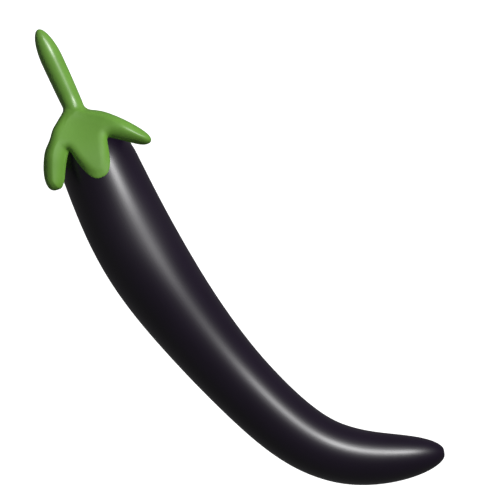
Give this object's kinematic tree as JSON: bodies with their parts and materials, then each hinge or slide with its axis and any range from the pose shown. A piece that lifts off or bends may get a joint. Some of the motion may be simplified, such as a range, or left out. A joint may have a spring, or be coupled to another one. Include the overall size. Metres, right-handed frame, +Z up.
{
  "type": "eggplant",
  "caption": "Long curved eggplant lying on its side: a slim dark fruit with a hooked blossom end, and a green five-lobed cap grown in one piece with its stem.",
  "frame": {"origin": "middle of the footprint, on the surface the eggplant lies on", "axes": "+X from the stem's tip towards the blossom end, +Y towards the hollow side of the bend, +Z up"},
  "size_m": [0.3092, 0.0714, 0.0472],
  "materials": {
    "skin": "smooth waxy near-black purple",
    "green_cap": "satin leaf green, finely fibrous"
  },
  "bodies": {
    "root": {"fruit": "skin", "calyx_and_stem": "green_cap"}
  },
  "joints": []
}
